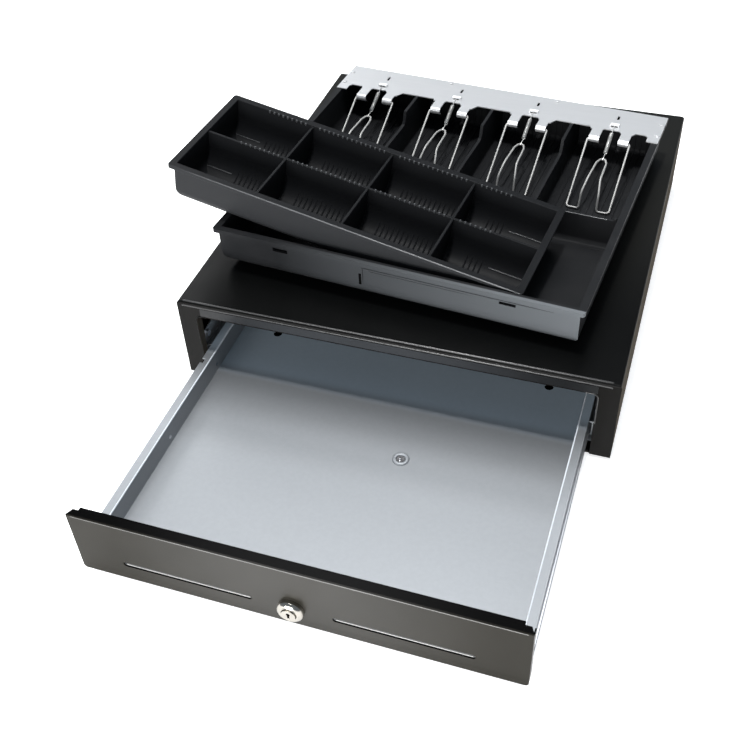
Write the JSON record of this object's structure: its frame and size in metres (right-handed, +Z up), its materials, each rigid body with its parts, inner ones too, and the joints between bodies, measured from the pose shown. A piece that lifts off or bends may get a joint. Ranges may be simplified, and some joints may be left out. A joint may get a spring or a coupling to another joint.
{
  "type": "cash drawer",
  "caption": "Counter cash drawer: a low painted steel housing with a slide-out drawer, front key lock and document slots, a lift-out banknote till with wire clips, and a loose coin tray on top.",
  "frame": {"origin": "on the plane the rubber feet stand on, under the middle of the whole object's bounding box with the drawer open and the till and coin tray on top; the housing's own middle plane is x = 0.0144 and the middle of its depth is y = 0.12365", "axes": "+Z up, +Y from the drawer front to the back, +X to the right as seen from the drawer front"},
  "size_m": [0.4388, 0.701, 0.1913],
  "materials": {
    "housing_paint": "fine-textured black powder coat, satin",
    "front_paint": "fine-textured charcoal powder coat, satin",
    "rubber": "matt black rubber",
    "black_screw": "blackened steel",
    "screw_steel": "bright zinc",
    "dark_steel": "blackened steel, slightly oily",
    "galvanised": "galvanised sheet, satin",
    "rail_steel": "zinc-plated, satin",
    "zinc_plate": "bright zinc-plated sheet",
    "wire_steel": "nickel-plated wire",
    "spring_steel": "bright spring wire",
    "lock_chrome": "polished",
    "plunger_steel": "ground, nickel-plated",
    "coil_tape": "amber winding tape",
    "black_plastic": "black moulded ABS, satin",
    "red_plastic": "moulded, red"
  },
  "bodies": {
    "housing": {"housing_shell": "housing_paint", "base_plate": "housing_paint", "back_panel": "housing_paint", "rubber_feet": "rubber", "foot_screws": "screw_steel", "shell_screws": "black_screw", "rail_bracket_left": "galvanised", "rail_bracket_right": "galvanised", "outer_rail_left": "rail_steel", "outer_rail_right": "rail_steel", "rail_screws": "screw_steel", "latch_bracket": "galvanised", "latch_pin": "screw_steel", "latch_screws": "screw_steel", "solenoid_frame": "galvanised", "solenoid_coil": "coil_tape", "plunger_spring": "spring_steel", "kicker_tube": "black_plastic", "kicker_spring": "spring_steel", "microswitch": "black_plastic", "cable_socket": "black_plastic", "socket_lead": "rubber"},
    "drawer": {"drawer_tray": "galvanised", "drawer_front": "front_paint", "media_chutes": "galvanised", "drawer_rivets": "screw_steel", "striker": "galvanised", "lock_body": "lock_chrome", "lock_nut": "screw_steel", "inner_rail_left": "rail_steel", "inner_rail_right": "rail_steel", "pivot_washer": "screw_steel", "pivot_screw": "dark_steel"},
    "cage_left": {"ball_cage_left": "rail_steel"},
    "cage_right": {"ball_cage_right": "rail_steel"},
    "key_core": {"lock_core": "lock_chrome"},
    "link": {"lock_link": "galvanised"},
    "latch": {"latch_lever": "galvanised"},
    "plunger": {"solenoid_plunger": "plunger_steel"},
    "kicker": {"kicker_rod": "black_plastic"},
    "button": {"switch_button": "red_plastic"},
    "till": {"till_tray": "black_plastic", "clip_plate": "zinc_plate", "plate_rivets": "zinc_plate", "clip_spring_1": "spring_steel", "clip_spring_2": "spring_steel", "clip_spring_3": "spring_steel", "clip_spring_4": "spring_steel"},
    "clip_1": {"bill_clip_1": "wire_steel"},
    "clip_2": {"bill_clip_2": "wire_steel"},
    "clip_3": {"bill_clip_3": "wire_steel"},
    "clip_4": {"bill_clip_4": "wire_steel"},
    "coin": {"coin_tray": "black_plastic"}
  },
  "joints": [
    {"name": "drawer_slide", "type": "slide", "parent": "housing", "child": "drawer", "axis": [0, 1, 0], "range_m": [0, 0.2417]},
    {"name": "cage_left_slide", "type": "slide", "parent": "housing", "child": "cage_left", "axis": [0, 1, 0], "range_m": [0, 0.12085]},
    {"name": "cage_right_slide", "type": "slide", "parent": "housing", "child": "cage_right", "axis": [0, 1, 0], "range_m": [0, 0.12085]},
    {"name": "kicker_slide", "type": "slide", "parent": "housing", "child": "kicker", "axis": [0, 1, 0], "range_m": [0, 0.025], "deforming": ["kicker_spring"]},
    {"name": "button_slide", "type": "slide", "parent": "housing", "child": "button", "axis": [0, 1, 0], "range_m": [0, 0.0015]},
    {"name": "latch_hinge", "type": "hinge", "parent": "housing", "child": "latch", "pos_m": [0.0144, 0.29565, 0.03], "axis": [1, 0, 0], "range_deg": [0, 18]},
    {"name": "plunger_slide", "type": "slide", "parent": "housing", "child": "plunger", "axis": [0, -1, 0], "range_m": [0, 0.00585], "deforming": ["plunger_spring"]},
    {"name": "key_turn", "type": "hinge", "parent": "drawer", "child": "key_core", "pos_m": [0.0144, -0.33335, 0.0265], "axis": [0, 1, 0], "range_deg": [0, 90]},
    {"name": "link_turn", "type": "hinge", "parent": "drawer", "child": "link", "pos_m": [0.0454, -0.16435, 0.0105], "axis": [0, 0, -1], "range_deg": [0, 2.6]},
    {"name": "till_lift", "type": "slide", "parent": "housing", "child": "till", "axis": [0, 0, 1], "range_m": [0, 0.12]},
    {"name": "coin_lift", "type": "slide", "parent": "till", "child": "coin", "axis": [0, 0, 1], "range_m": [0, 0.1]},
    {"name": "clip_1_hinge", "type": "hinge", "parent": "till", "child": "clip_1", "pos_m": [-0.10404, 0.22675, 0.1334], "axis": [-0.9968, 0.0802, 0], "range_deg": [0, 75], "stiffness_Nm_per_rad": 0.02, "springref_deg": -20.05, "deforming": ["clip_spring_1"]},
    {"name": "clip_2_hinge", "type": "hinge", "parent": "till", "child": "clip_2", "pos_m": [-0.01832, 0.21985, 0.1334], "axis": [-0.9968, 0.0802, 0], "range_deg": [0, 75], "stiffness_Nm_per_rad": 0.02, "springref_deg": -20.05, "deforming": ["clip_spring_2"]},
    {"name": "clip_3_hinge", "type": "hinge", "parent": "till", "child": "clip_3", "pos_m": [0.0674, 0.21295, 0.1334], "axis": [-0.9968, 0.0802, 0], "range_deg": [0, 75], "stiffness_Nm_per_rad": 0.02, "springref_deg": -20.05, "deforming": ["clip_spring_3"]},
    {"name": "clip_4_hinge", "type": "hinge", "parent": "till", "child": "clip_4", "pos_m": [0.15313, 0.20605, 0.1334], "axis": [-0.9968, 0.0802, 0], "range_deg": [0, 75], "stiffness_Nm_per_rad": 0.02, "springref_deg": -20.05, "deforming": ["clip_spring_4"]}
  ],
  "couplings": [
    {"joint": "cage_left_slide", "follows": "drawer_slide", "ratio": 0.5},
    {"joint": "cage_right_slide", "follows": "drawer_slide", "ratio": 0.5},
    {"joint": "kicker_slide", "follows": "drawer_slide", "ratio": 0.1034},
    {"joint": "button_slide", "follows": "drawer_slide", "ratio": 0.0062},
    {"joint": "plunger_slide", "follows": "latch_hinge", "m_per_rad": 0.018617},
    {"joint": "link_turn", "follows": "key_turn", "ratio": 0.028444}
  ]
}
